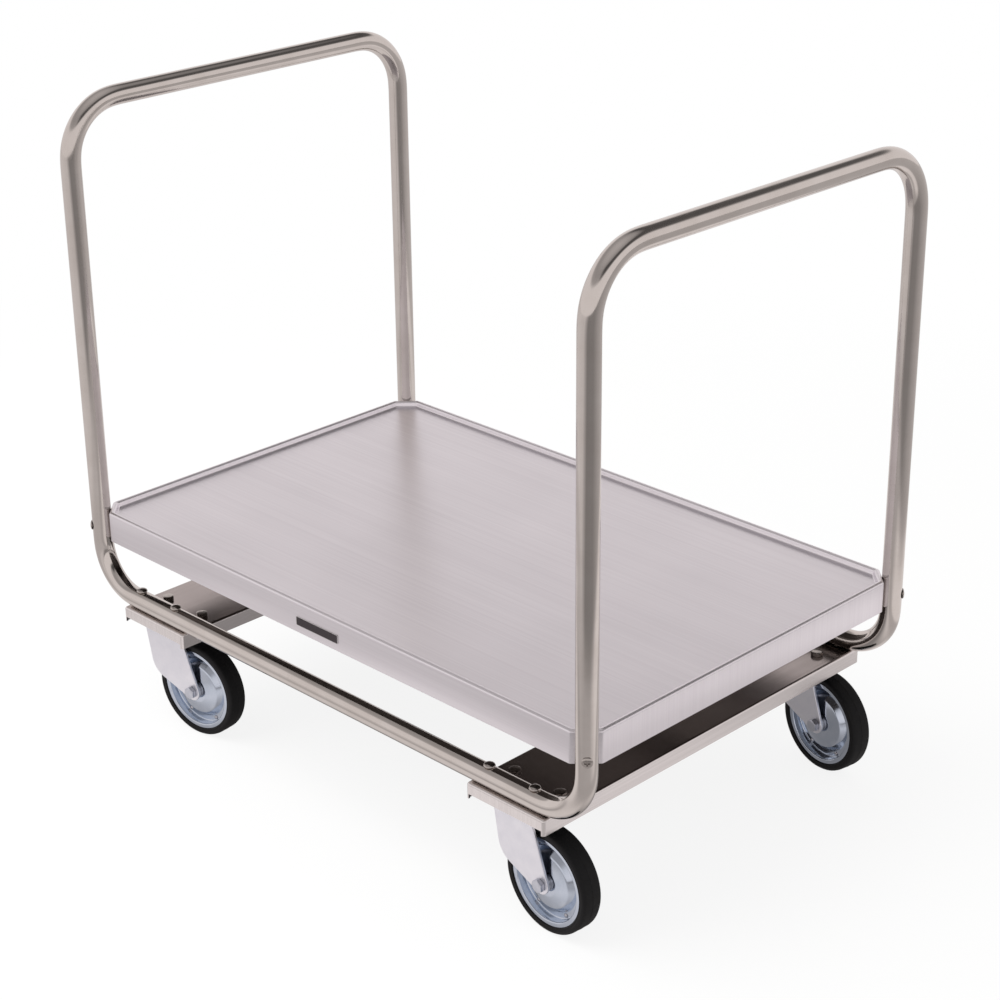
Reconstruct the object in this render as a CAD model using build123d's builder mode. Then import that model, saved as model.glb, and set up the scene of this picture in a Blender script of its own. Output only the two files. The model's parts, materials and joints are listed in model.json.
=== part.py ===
from build123d import *
import os
from math import sqrt

os.makedirs("parts", exist_ok=True)

# A platform truck of bent tube and sheet: a closed saddle-shaped loop of tube makes two low rails, four
# posts and two handles, a lipped deck hangs between the posts, and four swivel casters carry it.
# Sizes are in millimetres. The floor is z = 0 and the middle of the truck is x = y = 0, with x along
# the deck, y from the front side to the back, and every caster trailing towards +x.

# Heights above the floor
deck_height = 276.0          # to the top of the deck's lip
handle_rise = 526.0          # from the deck's lip to the middle of a handle bar

# Tube frame
tube_od = 25.4
tube_wall = 1.65
post_pitch_x = 854.0         # between the middles of the posts
post_pitch_y = 538.0
rail_bend = 62.0             # centreline radius from rail to post
handle_bend = 72.0           # centreline radius from post to handle bar
splice_length = 120.0        # sleeve inside the rail where the two hoops meet
splice_wall = 1.5
splice_fit = 0.1

# Deck pan
deck_sheet = 1.5
deck_overhang = 3.5          # of the skirts beyond the middles of the posts
deck_corner_round = 4.0
skirt_depth = 40.5
lip_height = 7.0             # above the flat of the deck
lip_width = 8.0
lip_round = 2.5
post_gap = 0.1               # between a post and the deck's clipped corner

# Channels under the deck
stiffener_sheet = 1.5
stiffener_depth = 22.0
stiffener_crown = 40.0
stiffener_foot = 16.0
stiffener_bend = 3.0
stiffener_pitch = 190.0
stiffener_end_gap = 4.0

# Screws that hold the deck's corners to the posts
screw_dia = 6.0
screw_head_dia = 13.0
screw_head_height = 3.0
screw_head_round = 2.2
screw_drop = 24.5            # below the top of the lip
screw_nut_flats = 10.0
screw_nut_height = 5.0
thread_end = 1.5             # thread that shows past a nut
hole_clearance = 0.2         # around every bolt and screw
thread_fit = 0.05            # between a nut and its thread

# Cross bolsters under the rails
post_to_bolster = 111.0      # from a post's middle to a bolster's middle
bolster_sheet = 2.5
bolster_corner_round = 4.0
bolster_fold = 3.0           # outside radius where the sheet is folded down
bolster_side_flange = 20.0   # depth, with the sheet
bolster_end_flange = 14.0

# Caster plate and its bolts
bolt_pitch_x = 70.0
bolt_pitch_y = 40.0
bolt_dia = 8.0
bolt_flats = 13.0
bolt_head_height = 5.3
bolt_nut_height = 6.5
dome_head_dia = 14.0
dome_head_height = 4.4
dome_head_round = 3.6
plate_thick = 3.0
plate_hole_edge = 11.0       # from a hole's middle to the plate's end
plate_side_gap = 11.5        # from the plate's end to the bolster's side flange
plate_end_gap = 0.7          # from the plate's edge to the bolster's end flange
plate_corner_round = 6.0

# Swivel bearing
kingpin_dia = 12.0
kingpin_head_dia = 18.0
kingpin_nut_flats = 19.0
kingpin_nut_height = 8.0
running_fit = 0.05
ball_dia = 5.0
ball_count = 12
ball_sink = 1.1              # depth of a ball in each of its two grooves
race_radius = 13.0
boss_radius = 17.5
boss_rise = 8.0
boss_taper = 6.0             # degrees

# Fork
caster_turn = {              # degrees that each caster has swung from straight
    "front_left": 7.5,
    "front_right": -3.0,
    "back_left": 3.0,
    "back_right": -9.0,
}
trail = 46.0                 # axle behind the kingpin
fork_sheet = 3.0
fork_side_gap = 3.5          # between a leg and the tyre
crown_gap = 9.2              # between the crown and the top of the tyre
fork_round = 4.0             # where the crown turns down into the legs
fork_edge_round = 1.0
crown_length = 62.0
cheek_radius = 30.0          # the full part of each leg, ahead of the axle
cheek_ahead = 39.0
cheek_rise = 34.5
foot_radius = 12.0

# Wheel
wheel_dia = 127.0
tyre_width = 28.0
tyre_height = 14.0
tyre_crown_round = 5.0
tyre_shoulder_round = 2.0
disc_sheet = 1.5
rim_flange = 4.5             # height of the rim flange above the tyre seat
rim_inset = 1.5              # rim flange in from the tyre's side
rim_edge_round = 0.6
groove_width = 8.0
dome_rise_width = 7.0        # of the slope from the groove up to the dome
dome_edge_inset = 4.5        # dome's outer edge in from the tyre's side
dome_crown_inset = 1.0       # dome's flat middle in from the tyre's side
dome_crown_radius = 17.0
rivet_dia = 4.0
rivet_head_dia = 6.0
rivet_head_height = 1.8
rivet_count = 6
seat_fit = 0.05              # between pieces pressed into the wheel

# Axle
axle_dia = 9.5
axle_flats = 14.3
axle_head_height = 6.0
axle_nut_height = 8.0
sleeve_od = 12.7
hub_od = 20.0
hub_end_gap = 1.0            # between the hub and a leg

# Levels and places that follow from the sizes above
crown_under = wheel_dia + crown_gap
crown_top = crown_under + fork_sheet
boss_top = crown_top + boss_rise
ball_z = boss_top + ball_dia / 2 - ball_sink
plate_under = boss_top + ball_dia - 2 * ball_sink
caster_height = plate_under + plate_thick
bolster_top = caster_height + bolster_sheet
rail_z = bolster_top + tube_od / 2
handle_z = deck_height + handle_rise
skirt_bottom = deck_height - skirt_depth
field_top = deck_height - lip_height
field_under = field_top - deck_sheet
post_x = post_pitch_x / 2
post_y = post_pitch_y / 2
caster_x = post_x - post_to_bolster
caster_y = post_y - bolt_pitch_y / 2
fork_gap = tyre_width + 2 * fork_side_gap
fork_width = fork_gap + 2 * fork_sheet
axle_z = wheel_dia / 2
plate_length = bolt_pitch_x + 2 * plate_hole_edge
plate_width = 2 * (post_y + tube_od / 2 - bolster_sheet - plate_end_gap - caster_y)
bolster_width = plate_length + 2 * (plate_side_gap + bolster_sheet)
bolster_length = post_pitch_y + tube_od
corners = {                  # the side of the middle that each corner is on, in x and y
    "front_left": (-1, -1),
    "front_right": (1, -1),
    "back_left": (-1, 1),
    "back_right": (1, 1),
}


def save(piece, name):
    piece.label = name
    export_step(piece, f"parts/{name}.step")


def post_plane(sign_x, sign_y, z):
    # A plane through a post's middle that faces out along the deck's diagonal
    return Plane(origin=(sign_x * post_x, sign_y * post_y, z), x_dir=(0, 0, 1), z_dir=(sign_x, sign_y, 0))


screw_planes = [post_plane(sx, sy, deck_height - screw_drop) for sx, sy in corners.values()]
rail_bolt_spots = [(sx * caster_x + hx * bolt_pitch_x / 2, sy * post_y)
                   for sx, sy in corners.values() for hx in (-1, 1)]
bolster_bolt_spots = [(x, y - bolt_pitch_y if y > 0 else y + bolt_pitch_y) for x, y in rail_bolt_spots]


# Tube hoops: each is half of both rails, two posts and one handle
with BuildPart() as right_hoop:
    with BuildLine():
        FilletPolyline(
            (0, -post_y, rail_z),
            (post_x, -post_y, rail_z),
            (post_x, -post_y, handle_z),
            (post_x, post_y, handle_z),
            (post_x, post_y, rail_z),
            (0, post_y, rail_z),
            radius=[rail_bend, handle_bend, handle_bend, rail_bend],
        )
    with BuildSketch(Plane(origin=(0, -post_y, rail_z), z_dir=(1, 0, 0))):
        Circle(tube_od / 2)
        Circle(tube_od / 2 - tube_wall, mode=Mode.SUBTRACT)
    sweep()
    with BuildSketch(Plane.XY.offset(rail_z)):
        with Locations(*[spot for spot in rail_bolt_spots if spot[0] > 0]):
            Circle(bolt_dia / 2 + hole_clearance)
    extrude(amount=tube_od, both=True, mode=Mode.SUBTRACT)
    for plane in screw_planes:
        with BuildSketch(plane):
            Circle(screw_dia / 2 + hole_clearance)
    extrude(amount=tube_od, both=True, mode=Mode.SUBTRACT)
save(right_hoop.part, "right_frame_hoop")
save(mirror(right_hoop.part, about=Plane.YZ), "left_frame_hoop")

with BuildPart() as rail_splices:
    with BuildSketch(Plane.YZ):
        with Locations((-post_y, rail_z), (post_y, rail_z)):
            Circle(tube_od / 2 - tube_wall - splice_fit)
            Circle(tube_od / 2 - tube_wall - splice_fit - splice_wall, mode=Mode.SUBTRACT)
    extrude(amount=splice_length / 2, both=True)
save(rail_splices.part, "rail_splice_sleeves")


# Deck: a pan with a raised lip, turned-down skirts and corners clipped square to the diagonals
def deck_corner_points(inset):
    half_x = post_x + deck_overhang - inset
    half_y = post_y + deck_overhang - inset
    leg = sqrt(2) * (tube_od / 2 + post_gap) + 2 * deck_overhang - inset * (2 - sqrt(2))
    return [
        (half_x, half_y - leg),
        (half_x - leg, half_y),
        (leg - half_x, half_y),
        (-half_x, half_y - leg),
        (-half_x, leg - half_y),
        (leg - half_x, -half_y),
        (half_x - leg, -half_y),
        (half_x, leg - half_y),
    ]


with BuildPart() as deck:
    with BuildSketch(Plane.XY.offset(skirt_bottom)) as outline:
        Polygon(*deck_corner_points(0))
        fillet(outline.vertices(), deck_corner_round)
    extrude(amount=skirt_depth)
    with BuildSketch(Plane.XY.offset(skirt_bottom)) as underside:
        Polygon(*deck_corner_points(deck_sheet))
        fillet(underside.vertices(), deck_corner_round - deck_sheet)
    extrude(amount=skirt_depth - lip_height - deck_sheet, mode=Mode.SUBTRACT)
    with BuildSketch(Plane.XY.offset(field_under)) as lip_hollow:
        Polygon(*deck_corner_points(deck_sheet))
        fillet(lip_hollow.vertices(), deck_corner_round - deck_sheet)
        Polygon(*deck_corner_points(lip_width - deck_sheet), mode=Mode.SUBTRACT)
    extrude(amount=lip_height, mode=Mode.SUBTRACT)
    with BuildSketch(Plane.XY.offset(field_top)):
        Polygon(*deck_corner_points(lip_width))
    extrude(amount=lip_height, mode=Mode.SUBTRACT)
    fillet(deck.edges().group_by(Axis.Z)[-1], lip_round)
    for plane in screw_planes:
        with BuildSketch(plane):
            Circle(screw_dia / 2 + hole_clearance)
    extrude(amount=-tube_od, mode=Mode.SUBTRACT)
save(deck.part, "deck")

with BuildPart() as stiffeners:
    side = stiffener_crown / 2 - stiffener_sheet / 2
    foot_end = stiffener_crown / 2 + stiffener_foot
    for y in (-stiffener_pitch / 2, stiffener_pitch / 2):
        foot_middle = (0, y, field_under - stiffener_sheet / 2)
        with BuildSketch(Plane(origin=foot_middle, x_dir=(0, 1, 0), z_dir=(1, 0, 0))):
            with BuildLine():
                FilletPolyline(
                    (-foot_end, 0),
                    (-side, 0),
                    (-side, stiffener_sheet - stiffener_depth),
                    (side, stiffener_sheet - stiffener_depth),
                    (side, 0),
                    (foot_end, 0),
                    radius=stiffener_bend,
                )
            trace(line_width=stiffener_sheet)
    extrude(amount=post_x + deck_overhang - lip_width - stiffener_end_gap, both=True)
save(stiffeners.part, "deck_stiffeners")

with BuildPart() as deck_screws:
    for plane in screw_planes:
        with BuildSketch(plane.offset(tube_od / 2)):
            Circle(screw_head_dia / 2)
        head = extrude(amount=screw_head_height)
        fillet(head.edges().sort_by(Axis(plane.origin, plane.z_dir))[-1], screw_head_round)
        with BuildSketch(plane.offset(tube_od / 2)):
            Circle(screw_dia / 2)
        extrude(amount=-(tube_od + post_gap + deck_sheet + screw_nut_height + thread_end))
save(deck_screws.part, "deck_screws")

with BuildPart() as deck_screw_nuts:
    for plane in screw_planes:
        with BuildSketch(plane.offset(-(tube_od / 2 + post_gap + deck_sheet))):
            RegularPolygon(screw_nut_flats / 2, 6, major_radius=False)
            Circle(screw_dia / 2 + thread_fit, mode=Mode.SUBTRACT)
        extrude(amount=-screw_nut_height)
save(deck_screw_nuts.part, "deck_screw_nuts")


# Bolsters: shallow channels across both rails, closed at their ends
with BuildPart() as right_bolster:
    with BuildSketch(Plane.XY.offset(bolster_top)):
        with Locations((caster_x, 0)):
            RectangleRounded(bolster_width, bolster_length, bolster_corner_round)
    extrude(amount=-bolster_side_flange)
    fillet(right_bolster.edges().group_by(Axis.Z)[-1], bolster_fold)
    with BuildSketch(Plane.XY.offset(caster_height)):
        with Locations((caster_x, 0)):
            RectangleRounded(
                bolster_width - 2 * bolster_sheet,
                bolster_length - 2 * bolster_sheet,
                bolster_corner_round - bolster_sheet,
            )
    extrude(amount=-bolster_side_flange, mode=Mode.SUBTRACT)
    with BuildSketch(Plane.XY.offset(bolster_top - bolster_end_flange)):
        with Locations((caster_x, 0)):
            Rectangle(bolster_width - 2 * bolster_corner_round, bolster_length)
    extrude(amount=-bolster_side_flange, mode=Mode.SUBTRACT)
    with BuildSketch(Plane.XY.offset(bolster_top)):
        with Locations(*[spot for spot in rail_bolt_spots + bolster_bolt_spots if spot[0] > 0]):
            Circle(bolt_dia / 2 + hole_clearance)
    extrude(amount=-bolster_sheet, mode=Mode.SUBTRACT)
save(right_bolster.part, "right_bolster")
save(mirror(right_bolster.part, about=Plane.YZ), "left_bolster")

with BuildPart() as rail_bolts:
    with BuildSketch(Plane.XY.offset(rail_z + tube_od / 2)):
        with Locations(*rail_bolt_spots):
            Circle(dome_head_dia / 2)
    heads = extrude(amount=dome_head_height)
    fillet(heads.edges().group_by(Axis.Z)[-1], dome_head_round)
    with BuildSketch(Plane.XY.offset(rail_z + tube_od / 2)):
        with Locations(*rail_bolt_spots):
            Circle(bolt_dia / 2)
    extrude(amount=-(tube_od + bolster_sheet + plate_thick + bolt_nut_height + thread_end))
save(rail_bolts.part, "rail_bolts")

with BuildPart() as bolster_bolts:
    with BuildSketch(Plane.XY.offset(bolster_top)):
        with Locations(*bolster_bolt_spots):
            RegularPolygon(bolt_flats / 2, 6, major_radius=False)
    extrude(amount=bolt_head_height)
    with BuildSketch(Plane.XY.offset(bolster_top)):
        with Locations(*bolster_bolt_spots):
            Circle(bolt_dia / 2)
    extrude(amount=-(bolster_sheet + plate_thick + bolt_nut_height + thread_end))
save(bolster_bolts.part, "bolster_bolts")

with BuildPart() as caster_bolt_nuts:
    with BuildSketch(Plane.XY.offset(plate_under)):
        with Locations(*rail_bolt_spots, *bolster_bolt_spots):
            RegularPolygon(bolt_flats / 2, 6, major_radius=False)
            Circle(bolt_dia / 2 + thread_fit, mode=Mode.SUBTRACT)
    extrude(amount=-bolt_nut_height)
save(caster_bolt_nuts.part, "caster_bolt_nuts")


# Casters: each piece is made about its own kingpin, and then set at the four corners
with BuildPart() as plate:
    with BuildSketch(Plane.XY.offset(plate_under)):
        RectangleRounded(plate_length, plate_width, plate_corner_round)
        with GridLocations(bolt_pitch_x, bolt_pitch_y, 2, 2):
            Circle(bolt_dia / 2 + hole_clearance, mode=Mode.SUBTRACT)
    extrude(amount=plate_thick)
    with BuildSketch(Plane.XZ):
        Polygon(
            (0, plate_under),
            (kingpin_dia / 2 + thread_fit, plate_under),
            (kingpin_head_dia / 2 + thread_fit, caster_height),
            (0, caster_height),
        )
        with Locations((race_radius, ball_z)):
            Circle(ball_dia / 2 + running_fit)
    revolve(axis=Axis.Z, mode=Mode.SUBTRACT)

kingpin_end = boss_top - fork_sheet - running_fit - kingpin_nut_height
with BuildPart() as kingpin:
    with BuildSketch(Plane.XZ):
        Polygon(
            (0, kingpin_end - thread_end),
            (kingpin_dia / 2, kingpin_end - thread_end),
            (kingpin_dia / 2, plate_under),
            (kingpin_head_dia / 2, caster_height),
            (0, caster_height),
        )
    revolve(axis=Axis.Z)

with BuildPart() as kingpin_nut:
    with BuildSketch(Plane.XY.offset(kingpin_end)):
        RegularPolygon(kingpin_nut_flats / 2, 6, major_radius=False)
        Circle(kingpin_dia / 2 + thread_fit, mode=Mode.SUBTRACT)
    extrude(amount=kingpin_nut_height)

with BuildPart(Plane.XY.offset(ball_z)) as balls:
    with PolarLocations(race_radius, ball_count):
        Sphere(ball_dia / 2)

with BuildPart() as fork:
    with BuildSketch(Plane.XZ):
        with BuildLine():
            Line((-crown_length / 2, crown_top), (crown_length / 2, crown_top))
            CenterArc((trail - cheek_ahead, axle_z + cheek_rise), cheek_radius, 0, 360)
            CenterArc((trail, axle_z), foot_radius, 0, 360)
        make_hull()
    extrude(amount=fork_width / 2, both=True)
    with BuildSketch(Plane.YZ):
        with Locations((0, crown_under)):
            Rectangle(fork_gap, crown_under, align=(Align.CENTER, Align.MAX))
    extrude(amount=crown_length + trail, both=True, mode=Mode.SUBTRACT)
    fillet(fork.edges().filter_by(Axis.X).group_by(Axis.Z)[-1], fork_round)
    fillet(fork.edges().filter_by(Axis.Y).group_by(Axis.Z)[-1], fork_edge_round)
    with BuildSketch(Plane.XY.offset(crown_under)):
        Circle(boss_radius)
    extrude(amount=fork_sheet + boss_rise, taper=boss_taper)
    with BuildSketch(Plane.XY.offset(crown_under)):
        Circle(boss_radius - fork_sheet)
    extrude(amount=boss_rise, taper=boss_taper, mode=Mode.SUBTRACT)
    with BuildSketch(Plane.XZ):
        with Locations((race_radius, ball_z)):
            Circle(ball_dia / 2 + running_fit)
    revolve(axis=Axis.Z, mode=Mode.SUBTRACT)
    with BuildSketch(Plane.XY.offset(crown_under)):
        Circle(kingpin_dia / 2 + running_fit)
    extrude(amount=fork_sheet + boss_rise, mode=Mode.SUBTRACT)
    with BuildSketch(Plane.XZ):
        with Locations((trail, axle_z)):
            Circle(axle_dia / 2 + hole_clearance)
    extrude(amount=fork_width, both=True, mode=Mode.SUBTRACT)

# Wheel pieces are turned about the axle, which is the y axis here
seat_radius = wheel_dia / 2 - tyre_height
rim_radius = seat_radius + rim_flange
rim_face = tyre_width / 2 - rim_inset
groove_outer = seat_radius - disc_sheet
groove_inner = groove_outer - groove_width
dome_edge = groove_inner - dome_rise_width
dome_edge_face = tyre_width / 2 - dome_edge_inset
dome_face = tyre_width / 2 - dome_crown_inset
hub_bore = hub_od / 2 + seat_fit

with BuildPart() as tyre:
    with BuildSketch() as tyre_section:
        half_seat = rim_face - disc_sheet - seat_fit
        Polygon(
            (seat_radius + seat_fit, -half_seat),
            (rim_radius + seat_fit, -half_seat),
            (rim_radius + seat_fit, -tyre_width / 2),
            (wheel_dia / 2, -tyre_width / 2),
            (wheel_dia / 2, tyre_width / 2),
            (rim_radius + seat_fit, tyre_width / 2),
            (rim_radius + seat_fit, half_seat),
            (seat_radius + seat_fit, half_seat),
        )
        tread_corners = tyre_section.vertices().group_by(Axis.X)[-1]
        fillet(tread_corners, tyre_crown_round)
        bead_corners = tyre_section.vertices().filter_by_position(
            Axis.X, rim_radius, rim_radius + 2 * seat_fit
        ).filter_by(lambda corner: abs(corner.Y) > rim_face)
        fillet(bead_corners, tyre_shoulder_round)
    revolve(axis=Axis.Y)

with BuildPart() as back_disc:
    with BuildSketch():
        Polygon(
            (rim_radius, rim_face),
            (groove_outer, rim_face),
            (groove_outer, disc_sheet),
            (groove_inner, disc_sheet),
            (dome_edge, dome_edge_face),
            (dome_crown_radius, dome_face),
            (hub_bore, dome_face),
            (hub_bore, dome_face - disc_sheet),
            (dome_crown_radius, dome_face - disc_sheet),
            (dome_edge - disc_sheet / 2, dome_edge_face - disc_sheet),
            (groove_inner - disc_sheet, 0),
            (seat_radius, 0),
            (seat_radius, rim_face - disc_sheet),
            (rim_radius, rim_face - disc_sheet),
        )
    revolve(axis=Axis.Y)
    fillet(back_disc.edges().filter_by(GeomType.CIRCLE).group_by(SortBy.RADIUS)[-1], rim_edge_round)
    with BuildSketch(Plane.XZ):
        with PolarLocations(groove_outer - groove_width / 2, rivet_count):
            Circle(rivet_dia / 2 + seat_fit)
    extrude(amount=-tyre_width / 2, mode=Mode.SUBTRACT)

with BuildPart() as rivets:
    with BuildSketch(Plane.XZ.offset(-disc_sheet)):
        with PolarLocations(groove_outer - groove_width / 2, rivet_count):
            Circle(rivet_head_dia / 2)
    extrude(amount=-rivet_head_height)
    with BuildSketch(Plane.XZ.offset(disc_sheet)):
        with PolarLocations(groove_outer - groove_width / 2, rivet_count):
            Circle(rivet_head_dia / 2)
    extrude(amount=rivet_head_height)
    with BuildSketch(Plane.XZ.offset(-disc_sheet)):
        with PolarLocations(groove_outer - groove_width / 2, rivet_count):
            Circle(rivet_dia / 2)
    extrude(amount=2 * disc_sheet)

with BuildPart() as hub:
    with BuildSketch(Plane.XZ):
        Circle(hub_od / 2)
        Circle(sleeve_od / 2 + running_fit, mode=Mode.SUBTRACT)
    extrude(amount=fork_gap / 2 - hub_end_gap, both=True)

with BuildPart() as axle_sleeve:
    with BuildSketch(Plane.XZ):
        Circle(sleeve_od / 2)
        Circle(axle_dia / 2 + hole_clearance, mode=Mode.SUBTRACT)
    extrude(amount=fork_gap / 2, both=True)

with BuildPart() as axle_bolt:
    with BuildSketch(Plane.XZ.offset(fork_width / 2)):
        RegularPolygon(axle_flats / 2, 6, major_radius=False)
    extrude(amount=axle_head_height)
    with BuildSketch(Plane.XZ.offset(fork_width / 2)):
        Circle(axle_dia / 2)
    extrude(amount=-(fork_width + axle_nut_height + thread_end))

with BuildPart() as axle_nut:
    with BuildSketch(Plane.XZ.offset(-fork_width / 2)):
        RegularPolygon(axle_flats / 2, 6, major_radius=False)
        Circle(axle_dia / 2 + thread_fit, mode=Mode.SUBTRACT)
    extrude(amount=-axle_nut_height)

axle_place = Location((trail, 0, axle_z))
caster_places = {name: Location((sx * caster_x, sy * caster_y, 0)) for name, (sx, sy) in corners.items()}
save(Compound([kingpin.part.moved(place) for place in caster_places.values()]), "kingpins")
save(Compound([kingpin_nut.part.moved(place) for place in caster_places.values()]), "kingpin_nuts")
for corner, place in caster_places.items():
    save(plate.part.moved(place), f"{corner}_caster_plate")
    swung = place * Location((0, 0, 0), (0, 0, caster_turn[corner]))
    save(balls.part.moved(swung), f"{corner}_swivel_balls")
    save(fork.part.moved(swung), f"{corner}_fork")
    axle = swung * axle_place
    save(axle_sleeve.part.moved(axle), f"{corner}_axle_sleeve")
    save(axle_bolt.part.moved(axle), f"{corner}_axle_bolt")
    save(axle_nut.part.moved(axle), f"{corner}_axle_nut")
    save(hub.part.moved(axle), f"{corner}_hub")
    save(tyre.part.moved(axle), f"{corner}_tyre")
    save(back_disc.part.moved(axle), f"{corner}_back_disc")
    save(mirror(back_disc.part, about=Plane.XZ).moved(axle), f"{corner}_front_disc")
    save(rivets.part.moved(axle), f"{corner}_wheel_rivets")
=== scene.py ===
import bpy
import bmesh
import json
import math
from mathutils import Matrix, Vector


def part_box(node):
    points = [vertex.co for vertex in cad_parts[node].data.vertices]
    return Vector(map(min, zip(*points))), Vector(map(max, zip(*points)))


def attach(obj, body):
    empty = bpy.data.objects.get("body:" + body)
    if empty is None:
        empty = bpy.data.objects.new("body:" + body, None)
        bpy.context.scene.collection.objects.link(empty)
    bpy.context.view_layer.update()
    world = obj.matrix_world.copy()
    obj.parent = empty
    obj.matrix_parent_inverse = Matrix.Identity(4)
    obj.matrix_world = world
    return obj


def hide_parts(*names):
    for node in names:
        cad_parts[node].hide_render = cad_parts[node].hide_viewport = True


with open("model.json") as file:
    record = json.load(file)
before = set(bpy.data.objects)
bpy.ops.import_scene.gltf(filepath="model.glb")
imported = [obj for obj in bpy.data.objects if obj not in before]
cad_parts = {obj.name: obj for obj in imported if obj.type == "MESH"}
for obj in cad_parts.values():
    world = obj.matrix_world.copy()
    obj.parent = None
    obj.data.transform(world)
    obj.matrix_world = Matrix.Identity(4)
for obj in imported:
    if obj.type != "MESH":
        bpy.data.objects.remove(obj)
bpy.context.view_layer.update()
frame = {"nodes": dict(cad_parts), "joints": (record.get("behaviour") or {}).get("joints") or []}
cadNodes = frame["nodes"]
joints = {joint["name"]: joint for joint in frame["joints"]}
corners = ("front_left", "front_right", "back_left", "back_right")
mm = 0.001
print("frame loaded:", len(cadNodes), "nodes")


# Finishes

def linear(hexColour):
    # an sRGB hex colour as the linear values that shaders take
    parts = [int(hexColour[i:i + 2], 16) / 255 for i in (1, 3, 5)]
    return [p / 12.92 if p <= 0.04045 else ((p + 0.055) / 1.055) ** 2.4 for p in parts] + [1.0]


def addNode(tree, kind, inputs=None, **settings):
    # inputs are filled by name or number, from another node's output or with a plain value
    node = tree.nodes.new(kind)
    for key, value in settings.items():
        setattr(node, key, value)
    for key, value in (inputs or {}).items():
        if isinstance(value, bpy.types.NodeSocket):
            tree.links.new(value, node.inputs[key])
        else:
            node.inputs[key].default_value = value
    return node


def newFinish(name, metallic, anisotropic=0.0):
    finish = bpy.data.materials.new(name)
    finish.use_nodes = True
    shader = finish.node_tree.nodes["Principled BSDF"]
    shader.inputs["Metallic"].default_value = metallic
    shader.inputs["Anisotropic"].default_value = anisotropic
    return finish, finish.node_tree, shader


def polishedStainlessTube():
    # drawn stainless tube, belted and buffed: crisp dark and white streaks, dulled a little where hands go
    look = {
        "pale": "#D4CFCB", "smoky": "#BFB8B2", "roughness": (0.07, 0.16),
        "handMarks": 45 * mm, "buffing": 1.5 * mm, "buffingDepth": 0.004 * mm,
    }
    finish, tree, shader = newFinish("polishedStainlessTube", 1.0)
    place = addNode(tree, "ShaderNodeTexCoord").outputs["Object"]
    handMarks = addNode(tree, "ShaderNodeTexNoise", {
        "Vector": place, "Scale": 1 / look["handMarks"], "Detail": 5.0, "Roughness": 0.6}).outputs["Fac"]
    dull = addNode(tree, "ShaderNodeMapRange", {
        "Value": handMarks, "From Min": 0.35, "From Max": 0.68,
        "To Min": look["roughness"][0], "To Max": look["roughness"][1]})
    tone = addNode(tree, "ShaderNodeMix", {
        0: handMarks, 6: linear(look["pale"]), 7: linear(look["smoky"])}, data_type="RGBA")
    # buffing lines are far finer than this: drawn at 1.5 mm so that they still show
    buffing = addNode(tree, "ShaderNodeTexNoise", {
        "Vector": place, "Scale": 1 / look["buffing"], "Detail": 2.0}).outputs["Fac"]
    relief = addNode(tree, "ShaderNodeBump", {
        "Height": buffing, "Strength": 0.25, "Distance": look["buffingDepth"]})
    tree.links.new(tone.outputs[2], shader.inputs["Base Color"])
    tree.links.new(dull.outputs["Result"], shader.inputs["Roughness"])
    tree.links.new(relief.outputs["Normal"], shader.inputs["Normal"])
    return finish


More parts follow.
